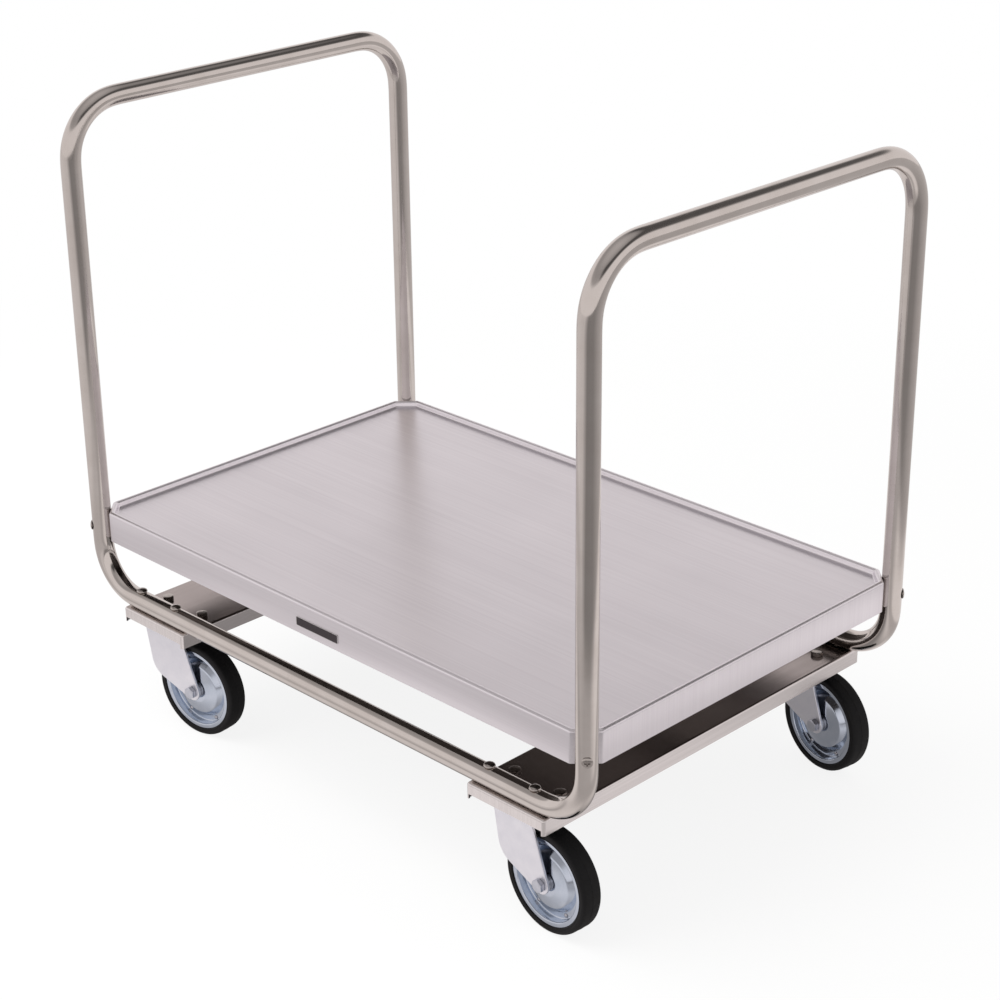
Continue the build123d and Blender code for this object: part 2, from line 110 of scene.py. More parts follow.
def brushedStainlessSheet(name, look):
    # sheet with a belt-brushed face: a satin glow drawn out across the grain, and fine lines along it
    finish, tree, shader = newFinish(name, 1.0, look["anisotropic"])
    coordinates = addNode(tree, "ShaderNodeTexCoord")
    place = addNode(tree, "ShaderNodeSeparateXYZ", {0: coordinates.outputs["Object"]}).outputs
    facing = addNode(tree, "ShaderNodeSeparateXYZ", {0: coordinates.outputs["Normal"]}).outputs
    along, across = (0, 1) if look["grainAxis"] == "x" else (1, 0)
    flangeFrom = 0.6  # a face that is turned sideways or endways by more than this is a flange
    grainShare = 0.55  # how much the grain dulls the face, beside the handling
    sideways = addNode(tree, "ShaderNodeMath", {0: facing[across]}, operation="ABSOLUTE")
    turnedSide = addNode(tree, "ShaderNodeMath", {
        0: sideways.outputs[0], 1: flangeFrom}, operation="GREATER_THAN").outputs[0]
    endways = addNode(tree, "ShaderNodeMath", {0: facing[along]}, operation="ABSOLUTE")
    turnedEnd = addNode(tree, "ShaderNodeMath", {
        0: endways.outputs[0], 1: flangeFrom}, operation="GREATER_THAN").outputs[0]
    # on a flange along the grain the lines stack up the height; on an end flange they run down it
    heightScale = addNode(tree, "ShaderNodeMapRange", {
        "Value": turnedSide, "To Min": 1 / look["lineLength"], "To Max": 1 / look["lineWidth"]})
    scales = (
        (place[along], 1 / look["lineLength"]),
        (place[across], 1 / look["lineWidth"]),
        (place[2], heightScale.outputs["Result"]),
    )
    stretched = [
        addNode(tree, "ShaderNodeMath", {0: spot, 1: scale}, operation="MULTIPLY").outputs[0]
        for spot, scale in scales
    ]
    grainPlace = addNode(tree, "ShaderNodeCombineXYZ", dict(enumerate(stretched)))
    grain = addNode(tree, "ShaderNodeTexNoise", {
        "Vector": grainPlace.outputs[0], "Scale": 1.0, "Detail": 1.0, "Roughness": 0.5}).outputs["Fac"]
    handling = addNode(tree, "ShaderNodeTexNoise", {
        "Vector": coordinates.outputs["Object"], "Scale": 1 / look["handling"], "Detail": 4.0}).outputs["Fac"]
    worn = addNode(tree, "ShaderNodeMath", {0: grain, 1: grainShare, 2: handling}, operation="MULTIPLY_ADD")
    satin = addNode(tree, "ShaderNodeMapRange", {
        "Value": worn.outputs[0], "From Min": 0.45, "From Max": 1.1,
        "To Min": look["roughness"][0], "To Max": look["roughness"][1]})
    tone = addNode(tree, "ShaderNodeMix", {
        0: grain, 6: linear(look["bright"]), 7: linear(look["grey"])}, data_type="RGBA")
    if "paintedTopShade" in look:  # painted shade: the upward top face inside the rails is multiplied greyer than the flanges, standing in for the shade under the deck
        upward = addNode(tree, "ShaderNodeMapRange", {"Value": facing[2], "From Min": 0.5, "From Max": 0.8})
        outward = addNode(tree, "ShaderNodeMath", {0: place[along]}, operation="ABSOLUTE")
        inside = addNode(tree, "ShaderNodeMapRange", {
            "Value": outward.outputs[0], "From Min": look["paintedShadeEnds"][0], "From Max": look["paintedShadeEnds"][1],
            "To Min": 1.0, "To Max": 0.0})
        paintedTopShadeMask = addNode(tree, "ShaderNodeMath", {
            0: upward.outputs["Result"], 1: inside.outputs["Result"]}, operation="MULTIPLY")
        tone = addNode(tree, "ShaderNodeMix", {
            0: paintedTopShadeMask.outputs[0], 6: tone.outputs[2], 7: linear(look["paintedTopShade"])},
            data_type="RGBA", blend_type="MULTIPLY")
    # the face that was never brushed, under the folds, is the dull grey of the mill, and that grey is
    # darkened further as painted shade for the dark space under the deck
    underneath = addNode(tree, "ShaderNodeMapRange", {
        "Value": facing[2], "From Min": -0.2, "From Max": -0.6, "To Min": 0.0, "To Max": 1.0})
    bothFaces = addNode(tree, "ShaderNodeMix", {
        0: underneath.outputs["Result"], 6: tone.outputs[2], 7: linear(look["millFaceAndShade"])}, data_type="RGBA")
    relief = addNode(tree, "ShaderNodeBump", {
        "Height": grain, "Strength": 0.35, "Distance": look["lineDepth"]})
    lie = addNode(tree, "ShaderNodeCombineXYZ", {along: 1.0, 2: turnedEnd})
    tree.links.new(bothFaces.outputs[2], shader.inputs["Base Color"])
    tree.links.new(satin.outputs["Result"], shader.inputs["Roughness"])
    tree.links.new(relief.outputs["Normal"], shader.inputs["Normal"])
    tree.links.new(lie.outputs[0], shader.inputs["Tangent"])
    return finish


def platedSteel(name, look):
    # pressed steel under bright zinc: a cool silver that clouds from patch to patch
    speckShare = 0.4  # how much the specks dull the face, beside the clouds
    finish, tree, shader = newFinish(name, 1.0)
    place = addNode(tree, "ShaderNodeTexCoord").outputs["Object"]
    clouds = addNode(tree, "ShaderNodeTexNoise", {
        "Vector": place, "Scale": 1 / look["clouds"], "Detail": 5.0, "Roughness": 0.65}).outputs["Fac"]
    specks = addNode(tree, "ShaderNodeTexNoise", {
        "Vector": place, "Scale": 1 / look["specks"], "Detail": 2.0}).outputs["Fac"]
    mixed = addNode(tree, "ShaderNodeMath", {0: specks, 1: speckShare, 2: clouds}, operation="MULTIPLY_ADD")
    soft = addNode(tree, "ShaderNodeMapRange", {
        "Value": mixed.outputs[0], "From Min": 0.4, "From Max": 1.0,
        "To Min": look["roughness"][0], "To Max": look["roughness"][1]})
    tone = addNode(tree, "ShaderNodeMix", {
        0: clouds, 6: linear(look["bright"]), 7: linear(look["cloudy"])}, data_type="RGBA")
    relief = addNode(tree, "ShaderNodeBump", {
        "Height": specks, "Strength": 0.2, "Distance": look["relief"]})
    tree.links.new(tone.outputs[2], shader.inputs["Base Color"])
    tree.links.new(soft.outputs["Result"], shader.inputs["Roughness"])
    tree.links.new(relief.outputs["Normal"], shader.inputs["Normal"])
    return finish


def spunZincDisc():
    # disc pressed from sheet and zinc plated: faint rings from the die, cool reflections
    look = {
        "bright": "#D0D7E2", "cloudy": "#B0BBCA", "roughness": (0.1, 0.19),
        "rings": 1.1 * mm, "clouds": 14 * mm, "ringDepth": 0.002 * mm,
    }
    finish, tree, shader = newFinish("spunZincDisc", 1.0)
    place = addNode(tree, "ShaderNodeTexCoord").outputs["Object"]
    flatPlace = addNode(tree, "ShaderNodeVectorMath", {0: place, 1: (1, 0, 1)}, operation="MULTIPLY")
    radius = addNode(tree, "ShaderNodeVectorMath", {0: flatPlace.outputs[0]}, operation="LENGTH")
    rings = addNode(tree, "ShaderNodeTexNoise", {
        "W": radius.outputs["Value"], "Scale": 1 / look["rings"], "Detail": 2.0},
        noise_dimensions="1D").outputs["Fac"]
    clouds = addNode(tree, "ShaderNodeTexNoise", {
        "Vector": place, "Scale": 1 / look["clouds"], "Detail": 4.0}).outputs["Fac"]
    soft = addNode(tree, "ShaderNodeMapRange", {
        "Value": clouds, "From Min": 0.3, "From Max": 0.7,
        "To Min": look["roughness"][0], "To Max": look["roughness"][1]})
    tone = addNode(tree, "ShaderNodeMix", {
        0: clouds, 6: linear(look["bright"]), 7: linear(look["cloudy"])}, data_type="RGBA")
    relief = addNode(tree, "ShaderNodeBump", {
        "Height": rings, "Strength": 0.3, "Distance": look["ringDepth"]})
    tree.links.new(tone.outputs[2], shader.inputs["Base Color"])
    tree.links.new(soft.outputs["Result"], shader.inputs["Roughness"])
    tree.links.new(relief.outputs["Normal"], shader.inputs["Normal"])
    return finish


def mouldedRubber():
    # black rubber from a mould: deep and slightly glossy on the sides, greyed by dust where it rolls
    look = {
        "black": "#08080A", "dusty": "#121213", "roughness": (0.5, 0.72), "ior": 1.52,
        "gloss": 0.22,  # pores in the rubber hold back the sheen
        "treadFrom": 61.5 * mm, "treadTo": 63.3 * mm, "dust": 7 * mm,
        "grit": 0.9 * mm, "gritDepth": 0.03 * mm,
    }
    finish, tree, shader = newFinish("mouldedRubber", 0.0)
    shader.inputs["IOR"].default_value = look["ior"]
    shader.inputs["Specular IOR Level"].default_value = look["gloss"]
    place = addNode(tree, "ShaderNodeTexCoord").outputs["Object"]
    flatPlace = addNode(tree, "ShaderNodeVectorMath", {0: place, 1: (1, 0, 1)}, operation="MULTIPLY")
    radius = addNode(tree, "ShaderNodeVectorMath", {0: flatPlace.outputs[0]}, operation="LENGTH")
    tread = addNode(tree, "ShaderNodeMapRange", {
        "Value": radius.outputs["Value"], "From Min": look["treadFrom"], "From Max": look["treadTo"]})
    dust = addNode(tree, "ShaderNodeTexNoise", {
        "Vector": place, "Scale": 1 / look["dust"], "Detail": 6.0, "Roughness": 0.7}).outputs["Fac"]
    worn = addNode(tree, "ShaderNodeMath", {0: tread.outputs["Result"], 1: dust}, operation="MULTIPLY")
    tone = addNode(tree, "ShaderNodeMix", {
        0: worn.outputs[0], 6: linear(look["black"]), 7: linear(look["dusty"])}, data_type="RGBA")
    matt = addNode(tree, "ShaderNodeMapRange", {
        "Value": worn.outputs[0], "From Max": 0.6,
        "To Min": look["roughness"][0], "To Max": look["roughness"][1]})
    grit = addNode(tree, "ShaderNodeTexNoise", {
        "Vector": place, "Scale": 1 / look["grit"], "Detail": 3.0}).outputs["Fac"]
    relief = addNode(tree, "ShaderNodeBump", {
        "Height": grit, "Strength": 0.3, "Distance": look["gritDepth"]})
    tree.links.new(tone.outputs[2], shader.inputs["Base Color"])
    tree.links.new(matt.outputs["Result"], shader.inputs["Roughness"])
    tree.links.new(relief.outputs["Normal"], shader.inputs["Normal"])
    return finish


def bakedEnamel():
    # dark enamel baked on a thin plate: a soft gloss, slightly mottled
    look = {
        "dark": "#1E171B", "faded": "#2A2126", "roughness": (0.32, 0.44), "ior": 1.5,
        "gloss": 0.36,  # the enamel is a little chalky with age
        "mottle": 6 * mm,
    }
    finish, tree, shader = newFinish("bakedEnamel", 0.0)
    shader.inputs["IOR"].default_value = look["ior"]
    shader.inputs["Specular IOR Level"].default_value = look["gloss"]
    place = addNode(tree, "ShaderNodeTexCoord").outputs["Object"]
    mottle = addNode(tree, "ShaderNodeTexNoise", {
        "Vector": place, "Scale": 1 / look["mottle"], "Detail": 4.0}).outputs["Fac"]
    soft = addNode(tree, "ShaderNodeMapRange", {
        "Value": mottle, "From Min": 0.3, "From Max": 0.7,
        "To Min": look["roughness"][0], "To Max": look["roughness"][1]})
    tone = addNode(tree, "ShaderNodeMix", {
        0: mottle, 6: linear(look["dark"]), 7: linear(look["faded"])}, data_type="RGBA")
    tree.links.new(tone.outputs[2], shader.inputs["Base Color"])
    tree.links.new(soft.outputs["Result"], shader.inputs["Roughness"])
    return finish


finishes = {
    "tube": polishedStainlessTube(),
    "deck": brushedStainlessSheet("brushedStainlessDeck", {
        "grainAxis": "x", "bright": "#E9E6EA", "grey": "#DEDADF", "millFaceAndShade": "#5E5855",
        "roughness": (0.28, 0.33), "anisotropic": 0.45,
        # belt lines are about 0.1 mm wide: drawn at 2.5 mm so that the grain shows
        "lineWidth": 2.5 * mm, "lineLength": 420 * mm, "lineDepth": 0.002 * mm, "handling": 140 * mm,
    }),
    "bolster": brushedStainlessSheet("satinStainlessBolster", {
        "grainAxis": "y", "bright": "#E6E2E1", "grey": "#D9D4D3", "millFaceAndShade": "#6A6461",
        # painted shade multiplied into the top face, for the shade under the deck
        "paintedTopShade": "#C4BEBC",
        "paintedShadeEnds": (267 * mm, 271 * mm),  # the painted shade stops at the rails, so the top outside them stays as bright as the flanges
        "roughness": (0.17, 0.27), "anisotropic": 0.35,
        "lineWidth": 2.4 * mm, "lineLength": 240 * mm, "lineDepth": 0.002 * mm, "handling": 70 * mm,
    }),
    # channels under the deck: duller mill finish, with colours darkened further as painted shade for the
    # space under the deck
    "stiffener": brushedStainlessSheet("millStainlessChannelPaintedShade", {
        "grainAxis": "x", "bright": "#8C8683", "grey": "#7A7471", "millFaceAndShade": "#69635F",
        "roughness": (0.34, 0.48), "anisotropic": 0.2,
        "lineWidth": 2.5 * mm, "lineLength": 200 * mm, "lineDepth": 0.02 * mm, "handling": 60 * mm,
    }),
    "fork": platedSteel("brightZincPressing", {
        "bright": "#EEEEF3", "cloudy": "#DFE0E8", "roughness": (0.3, 0.46),
        "clouds": 16 * mm, "specks": 1.2 * mm, "relief": 0.02 * mm}),
    "bolts": platedSteel("stainlessFastener", {
        "bright": "#C2BCB8", "cloudy": "#A09A95", "roughness": (0.16, 0.26),
        "clouds": 5 * mm, "specks": 0.8 * mm, "relief": 0.01 * mm}),
    "zincBolts": platedSteel("zincFastener", {
        "bright": "#D3D6DE", "cloudy": "#B4B8C2", "roughness": (0.28, 0.38),
        "clouds": 5 * mm, "specks": 0.8 * mm, "relief": 0.01 * mm}),
    "pins": platedSteel("turnedSteelPin", {
        "bright": "#C4C4C8", "cloudy": "#A6A6AC", "roughness": (0.28, 0.38),
        "clouds": 6 * mm, "specks": 0.9 * mm, "relief": 0.01 * mm}),
    "balls": platedSteel("groundBearingSteel", {
        "bright": "#D4D4D8", "cloudy": "#BEBEC4", "roughness": (0.06, 0.12),
        "clouds": 2 * mm, "specks": 0.5 * mm, "relief": 0.002 * mm}),
    "plateRim": platedSteel("satinAluminiumRim", {
        "bright": "#D9D8D8", "cloudy": "#C6C4C4", "roughness": (0.28, 0.38),
        "clouds": 8 * mm, "specks": 0.7 * mm, "relief": 0.01 * mm}),
    "plateField": bakedEnamel(),
    "disc": spunZincDisc(),
    "tyre": mouldedRubber(),
}

cadFinishes = {
    "tube": ("left_frame_hoop", "right_frame_hoop", "rail_splice_sleeves"),
    "deck": ("deck",),
    "stiffener": ("deck_stiffeners",),
    "bolster": ("left_bolster", "right_bolster"),
    "bolts": ("deck_screws", "deck_screw_nuts", "rail_bolts", "bolster_bolts", "caster_bolt_nuts"),
    "pins": ("kingpins", "kingpin_nuts"),
}
cornerFinishes = {
    "fork": ("caster_plate", "fork"),
    "zincBolts": ("axle_bolt", "axle_nut"),
    "pins": ("axle_sleeve", "hub", "wheel_rivets"),
    "balls": ("swivel_balls",),
    "disc": ("front_disc", "back_disc"),
    "tyre": ("tyre",),
}
for finishName, members in cornerFinishes.items():
    cadFinishes[finishName] = cadFinishes.get(finishName, ()) + tuple(
        f"{corner}_{member}" for corner in corners for member in members)
for finishName, members in cadFinishes.items():
    for member in members:
        cadNodes[member].data.materials.clear()
        cadNodes[member].data.materials.append(finishes[finishName])
print("finishes given to", sum(len(members) for members in cadFinishes.values()), "nodes")


# Shapes

meshing = {"weld": 0.002 * mm, "sharpFrom": 34.0}  # degrees at which a fold is drawn as an edge


def newPiece(name, shape, body, pieceFinishes, standsFor, place=None):
    # a welded mesh, smooth where it turns gently, set on its body in place of the nodes it stands for
    bmesh.ops.remove_doubles(shape, verts=shape.verts, dist=meshing["weld"])
    loose = [edge for edge in shape.edges if not edge.link_faces]
    bmesh.ops.delete(shape, geom=loose, context="EDGES")
    bmesh.ops.recalc_face_normals(shape, faces=shape.faces)
    mesh = bpy.data.meshes.new(name)
    shape.to_mesh(mesh)
    shape.free()
    mesh.shade_smooth()
    mesh.set_sharp_from_angle(angle=math.radians(meshing["sharpFrom"]))
    for finish in pieceFinishes:
        mesh.materials.append(finish)
    piece = bpy.data.objects.new(name, mesh)
    if place:
        piece.matrix_world = place
    bpy.context.scene.collection.objects.link(piece)
    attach(piece, body)
    if standsFor:
        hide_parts(*standsFor)


def rounded(folds, steps=5):
    # an outline through (across, up, fold) points, with an arc where a fold has a radius
    outline = []
    for i, (across, up, fold) in enumerate(folds):
        tip = Vector((across, up))
        if not fold:
            outline.append((across, up))
            continue
        back = (Vector(folds[i - 1][:2]) - tip).normalized()
        onward = (Vector(folds[(i + 1) % len(folds)][:2]) - tip).normalized()
        half = back.angle(onward) / 2
        middle = tip + (back + onward).normalized() * fold / math.sin(half)
        start = tip + back * fold / math.tan(half) - middle
        end = tip + onward * fold / math.tan(half) - middle
        sweep = math.pi - 2 * half
        for step in range(steps + 1):
            share = step / steps
            arm = start * math.sin((1 - share) * sweep) + end * math.sin(share * sweep)
            outline.append(tuple(middle + arm / math.sin(sweep)))
    return outline


def turned(shape, outline, steps, place=Matrix()):
    # turns a closed outline of (radius, height) millimetres about y; an outline can change with the angle
    rings = []
    for i in range(steps):
        angle = math.tau * i / steps
        points = outline(angle) if callable(outline) else outline
        spots = [Vector((r * math.cos(angle), y, r * math.sin(angle))) * mm for r, y in points]
        rings.append([shape.verts.new(place @ spot) for spot in spots])
    for here, there in zip(rings, rings[1:] + rings[:1]):
        for j in range(len(here)):
            shape.faces.new((here[j - 1], there[j - 1], there[j], here[j]))


fastener = {
    "tip": (0.7, 0.6),  # a bolt's chamfered end: in from the thread, and along
    "threadDepth": 0.5,  # share of the pitch
    "crown": 0.46, "chamfer": 30.0,  # a hexagon's flat top as a share of its flats, and its slope in degrees
    "crownEdge": (0.7, 0.1), "washerFace": 0.5, "boreChamfer": 0.5,
    "around": 72,
}


def hexReach(flats, angle):
    # from the middle of a hexagon to its side
    return flats / 2 / math.cos((angle + math.pi / 6) % (math.pi / 3) - math.pi / 6)


def threadedEnd(dia, start, end, pitch):
    # rings for a thread's turns, then the chamfered tip
    points = []
    radius = dia / 2
    tipIn, tipLength = fastener["tip"]
    while start - pitch > end + tipLength:
        points += [(radius, start), (radius - fastener["threadDepth"] * pitch, start - pitch / 2)]
        start -= pitch
    return points + [(radius, start), (radius, end + tipLength), (radius - tipIn, end), (0, end)]


def hexBolt(size):
    # head with a chamfered top and a washer face, then a shank with its thread
    crown = fastener["crown"] * size["flats"]
    edgeIn, edgeDrop = fastener["crownEdge"]
    washerFace = fastener["washerFace"]
    shank = threadedEnd(size["dia"], size["threadFrom"], size["end"], size["pitch"])

    def outline(angle):
        reach = hexReach(size["flats"], angle)
        shoulder = size["head"] - (reach - crown) * math.tan(math.radians(fastener["chamfer"]))
        top = [(0, size["head"]), (crown - edgeIn, size["head"]), (crown, size["head"] - edgeDrop)]
        side = [(reach, shoulder), (reach, washerFace), (crown, washerFace), (crown, 0)]
        return top + side + [(size["dia"] / 2, 0)] + shank

    return outline


def hexNut(size):
    # chamfered on both faces and at both ends of the bore
    crown = fastener["crown"] * size["flats"]
    bore, height = size["bore"] / 2, size["height"]
    chamfer = fastener["boreChamfer"]

    def outline(angle):
        reach = hexReach(size["flats"], angle)
        fall = (reach - crown) * math.tan(math.radians(fastener["chamfer"]))
        side = [(crown, 0), (reach, fall), (reach, height - fall), (crown, height)]
        return [(bore + chamfer, 0)] + side + [
            (bore + chamfer, height), (bore, height - chamfer), (bore, chamfer)]

    return outline


def standing(x, y, z):
    # a place, in millimetres, where a turned shape's axis points up
    return Matrix.Translation((x * mm, y * mm, z * mm)) @ Matrix.Rotation(math.radians(90), 4, "X")


# Frame tube, in two hoops that meet in the middle of the rails

frameTube = {
    "post": (427, 269), "railLevel": 168.2, "handleLevel": 802.0, "outer": 12.66, "inner": 11.05,
    "railBend": 62.0, "handleBend": 72.0,
    "easing": 28.0,  # a bending roller lets the tube start and end its turn gradually over this length
    "fitRounds": 8, "bendSteps": 30, "fineSteps": 40, "around": 72,
}


def easedBend(radius):
    # a right-angle turn as (back from the corner, on from the corner, heading) steps
    easing = frameTube["easing"]
    tight = radius
    for _ in range(frameTube["fitRounds"]):
        setIn = easing ** 2 / (24 * tight)  # how far an easing sets an arc in from its straight run
        tight = radius - (2 + math.sqrt(2)) * setIn  # keeps the turn's middle where the plain arc has it
    length = tight * math.pi / 2 + easing
    fine = frameTube["fineSteps"]
    count = fine * frameTube["bendSteps"]
    ahead = aside = 0.0
    steps = [(0.0, 0.0, 0.0)]
    for i in range(count):
        done = length * (i + 0.5) / count
        if done < easing:
            heading = done ** 2 / (2 * tight * easing)
        elif done < length - easing:
            heading = (done - easing / 2) / tight
        else:
            heading = math.pi / 2 - (length - done) ** 2 / (2 * tight * easing)
        ahead += math.cos(heading) * length / count
        aside += math.sin(heading) * length / count
        if i % fine == fine - 1:
            steps.append((ahead, aside, heading))
    return [(ahead - step[0], step[1], step[2]) for step in steps]


def makeHoop(name, signX, node):
    postX, postY = signX * frameTube["post"][0], frameTube["post"][1]
    low, high = frameTube["railLevel"], frameTube["handleLevel"]
    turns = [
        ((0, -postY, low), 0), ((postX, -postY, low), frameTube["railBend"]),
        ((postX, -postY, high), frameTube["handleBend"]), ((postX, postY, high), frameTube["handleBend"]),
        ((postX, postY, low), frameTube["railBend"]), ((0, postY, low), 0),
    ]
    points = [Vector(place) for place, _ in turns]
    path = [(points[0], (points[1] - points[0]).normalized())]
    for before, tip, (_, radius), after in zip(points, points[1:], turns[1:-1], points[2:]):
        into = (tip - before).normalized()
        out = (after - tip).normalized()
        for back, on, heading in easedBend(radius):
            bearing = into * math.cos(heading) + out * math.sin(heading)
            path.append((tip - into * back + out * on, bearing))
    path.append((points[-1], (points[-1] - points[-2]).normalized()))
    shape = bmesh.new()
    walls = {"outer": [], "inner": []}
    angles = [math.tau * i / frameTube["around"] for i in range(frameTube["around"])]
    spoke = Vector((0, 0, 1))
    along = path[0][1]
    for spot, bearing in path:
        spoke = along.rotation_difference(bearing) @ spoke
        along = bearing
        beside = along.cross(spoke)
        arms = [spoke * math.cos(angle) + beside * math.sin(angle) for angle in angles]
        for wall, rings in walls.items():
            rings.append([shape.verts.new((spot + frameTube[wall] * arm) * mm) for arm in arms])
    outer, inner = walls["outer"], walls["inner"]
    strips = list(zip(outer, outer[1:])) + list(zip(inner[1:], inner))
    strips += [(inner[0], outer[0]), (outer[-1], inner[-1])]
    for here, there in strips:
        for i in range(frameTube["around"]):
            shape.faces.new((here[i - 1], here[i], there[i], there[i - 1]))
    newPiece(name, shape, "chassis", [finishes["tube"]], [node])


makeHoop("leftFrameHoop", -1, "left_frame_hoop")
makeHoop("rightFrameHoop", 1, "right_frame_hoop")
print("frame tube made")


# Deck pan, with a rounder lip than a sharp fold gives

deckPan = {
    "clip": 25.1,  # leg of each corner that is cut off beside a post
    "cornerRound": 4.0, "cornerSteps": 6,
    # inset from the skirt's face, height from the lip's top, and fold:
    # out over the lip and down the skirt, then back under the sheet
    "section": (
        (14.0, -7.0, 0.0), (8.5, -7.0, 2.0), (6.9, 0.0, 3.2), (0.0, 0.0, 3.6), (0.0, -40.5, 0.3),
        (1.5, -40.5, 0.3), (1.5, -1.5, 2.1), (5.4, -1.5, 1.7), (7.0, -8.5, 3.5), (14.0, -8.5, 0.0),
    ),
}


def deckCorners(inset):
    # the deck's eight corners, drawn in by an inset, once around from the right
    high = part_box("deck")[1] / mm
    leg = deckPan["clip"] - inset * (2 - math.sqrt(2))  # the cut is drawn in too, so its leg shortens
    spots = []
    for signX, signY in ((1, 1), (-1, 1), (-1, -1), (1, -1)):
        pair = [
            (signX * (high.x - inset), signY * (high.y - inset - leg), deckPan["cornerRound"]),
            (signX * (high.x - inset - leg), signY * (high.y - inset), deckPan["cornerRound"]),
        ]
        spots += pair if signX == signY else reversed(pair)
    return spots


def makeDeckPan():
    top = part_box("deck")[1].z / mm
    shape = bmesh.new()
    rings = []
    for inset, up in rounded(deckPan["section"]):
        outline = rounded(deckCorners(inset), deckPan["cornerSteps"])
        rings.append([shape.verts.new((x * mm, y * mm, (top + up) * mm)) for x, y in outline])
    for here, there in zip(rings, rings[1:]):
        for i in range(len(here)):
            shape.faces.new((here[i - 1], here[i], there[i], there[i - 1]))
    shape.faces.new(rings[0])
    shape.faces.new(rings[-1])
    newPiece("deckPan", shape, "chassis", [finishes["deck"]], ["deck"])


makeDeckPan()
print("deck pan made")


# Screws through the posts

deckScrew = {
    "level": 251.5, "seat": 12.7,  # from the post's middle to its wall
    "head": 13.0, "headHeight": 2.4, "edge": 0.5, "domePowers": (2.4, 0.6), "rings": 26, "around": 96,
    "armLength": 3.3, "armWidth": 1.5, "armDepth": 1.6, "armEdge": 0.3, "armEnd": 0.5,
    "dia": 6.0, "threadFrom": -20.0, "end": -33.5, "pitch": 1.0,
    "nutFrom": 14.3, "nut": {"flats": 10.0, "height": 5.0, "bore": 6.1},
}


def crossHead(angle):
    # a low dome with a cross-shaped socket sunk into it
    points = []
    radius = deckScrew["head"] / 2
    dome = deckScrew["headHeight"] - deckScrew["edge"]
    outPower, upPower = deckScrew["domePowers"]
    for ring in range(deckScrew["rings"] + 1):
        r = radius * ring / deckScrew["rings"]
        rise = dome * (1 - (r / radius) ** outPower) ** upPower
        beside = r * min(abs(math.cos(angle)), abs(math.sin(angle)))
        inArm = max(0, min(1, (deckScrew["armWidth"] / 2 - beside) / deckScrew["armEdge"]))
        inReach = max(0, min(1, (deckScrew["armLength"] - r) / deckScrew["armEnd"]))
        points.append((r, deckScrew["edge"] + rise - deckScrew["armDepth"] * inArm * inReach))
    return points + [(radius, 0), (deckScrew["dia"] / 2, 0)] + threadedEnd(
        deckScrew["dia"], deckScrew["threadFrom"], deckScrew["end"], deckScrew["pitch"])


def postPlace(signX, signY, out):
    # a place out from a post's middle along the deck's diagonal
    outward = Vector((signX, signY, 0)).normalized()
    up = Vector((0, 0, 1))
    place = Matrix((outward.cross(up), outward, up)).transposed().to_4x4()
    postX, postY = frameTube["post"]
    place.translation = (Vector((signX * postX, signY * postY, deckScrew["level"])) + outward * out) * mm
    return place


screws = bmesh.new()
nuts = bmesh.new()
for signX in (-1, 1):
    for signY in (-1, 1):
        turned(screws, crossHead, deckScrew["around"], postPlace(signX, signY, deckScrew["seat"]))
        turned(nuts, hexNut(deckScrew["nut"]), fastener["around"],
               postPlace(signX, signY, -deckScrew["nutFrom"] - deckScrew["nut"]["height"]))
newPiece("deckScrews", screws, "chassis", [finishes["bolts"]], ["deck_screws"])
newPiece("deckScrewNuts", nuts, "chassis", [finishes["bolts"]], ["deck_screw_nuts"])
print("deck screws made")


# Bolts that hold the casters and the rails to the bolsters

casterBolts = {
    "pitch": (35, 20), "railTop": 25.4, "sheet": 2.5,
    "bolt": {"flats": 13.0, "head": 5.3, "dia": 8.0, "threadFrom": -3.0, "end": -13.5, "pitch": 1.25},
    "nut": {"flats": 13.0, "height": 6.5, "bore": 8.1},
    "dome": {
        "dia": 14.0, "head": 4.4, "edge": 0.9, "underEdge": 0.5, "steps": 12, "around": 64,
        "shank": 8.0, "threadFrom": -29.0, "end": -38.9, "pitch": 1.25,
    },
}


def domeBolt():
    # a smooth round head as on a coach bolt
    dome = casterBolts["dome"]
    radius = dome["dia"] / 2
    points = []
    for step in range(dome["steps"] + 1):
        swing = math.radians(90) * step / dome["steps"]
        rise = (dome["head"] - dome["edge"]) * math.cos(swing)
        points.append((radius * math.sin(swing), dome["edge"] + rise))
    return points + [(radius - dome["underEdge"], 0), (dome["shank"] / 2, 0)] + threadedEnd(
        dome["shank"], dome["threadFrom"], dome["end"], dome["pitch"])


hexBolts = bmesh.new()
domeBolts = bmesh.new()
nuts = bmesh.new()
for corner in corners:
    low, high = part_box(corner + "_caster_plate")
    middle = (low + high) / 2 / mm
    bolsterTop = high.z / mm + casterBolts["sheet"]
    railTop = bolsterTop + casterBolts["railTop"]
    nutLevel = low.z / mm - casterBolts["nut"]["height"]
    outer = 1 if middle.y > 0 else -1
    for side in (-1, 1):
        x = middle.x + side * casterBolts["pitch"][0]
        railY = middle.y + outer * casterBolts["pitch"][1]
        innerY = middle.y - outer * casterBolts["pitch"][1]
        turned(domeBolts, domeBolt(), casterBolts["dome"]["around"], standing(x, railY, railTop))
        turned(hexBolts, hexBolt(casterBolts["bolt"]), fastener["around"], standing(x, innerY, bolsterTop))
        for y in (railY, innerY):
            turned(nuts, hexNut(casterBolts["nut"]), fastener["around"], standing(x, y, nutLevel))
newPiece("railBolts", domeBolts, "chassis", [finishes["bolts"]], ["rail_bolts"])
newPiece("bolsterBolts", hexBolts, "chassis", [finishes["bolts"]], ["bolster_bolts"])
newPiece("casterBoltNuts", nuts, "chassis", [finishes["bolts"]], ["caster_bolt_nuts"])
print("caster bolts made")


# Bare plate on the front skirt

namePlate = {
    "middle": (-0.5, -272.5, 251.0), "size": (74.0, 12.0), "corner": 1.6, "cornerSteps": 6,
    # inset from the edge and height off the skirt, step by step to the sunk dark field
    "layers": ((0.0, 0.0), (0.0, 0.7), (0.15, 0.9), (0.55, 0.9), (0.75, 0.7)),
}


